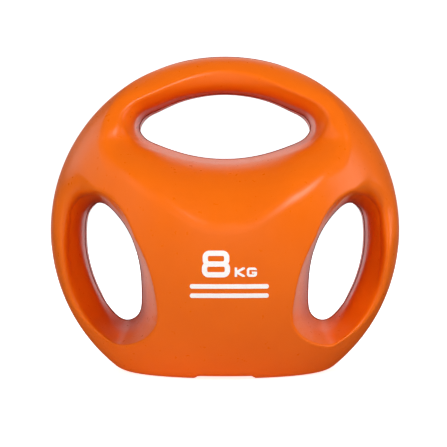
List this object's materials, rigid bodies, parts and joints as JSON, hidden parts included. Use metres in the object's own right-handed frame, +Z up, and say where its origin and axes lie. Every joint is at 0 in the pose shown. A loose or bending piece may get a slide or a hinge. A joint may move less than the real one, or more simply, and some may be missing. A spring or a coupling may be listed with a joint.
{
  "type": "triple-grip medicine ball",
  "caption": "Moulded medicine ball with a flat base, slanted flats front and rear, and hand openings that leave a grip at the top and at each side; sand filled.",
  "frame": {"origin": "middle of the base, on the floor, under the ball's centre", "axes": "+Z up through the top grip, +X towards the right-hand grip, -Y towards the printed front face"},
  "size_m": [0.29, 0.29, 0.262],
  "materials": {
    "shell": "satin moulded soft vinyl with a very fine grain",
    "weld": "fused seam, slightly darker than the skin",
    "print": "white pad-printed ink",
    "fill": "loose iron sand",
    "plug": "matte black moulded plug",
    "seal": "matte black rubber washer"
  },
  "bodies": {
    "root": {"front_shell": "shell", "rear_shell": "shell", "rim_weld": "weld", "top_grip_weld": "weld", "left_grip_weld": "weld", "right_grip_weld": "weld", "iron_sand_fill": "fill", "filler_plug": "plug", "plug_seal": "seal", "print_numeral_8": "print", "print_letter_k": "print", "print_letter_g": "print", "print_upper_bar": "print", "print_lower_bar": "print"}
  },
  "joints": []
}
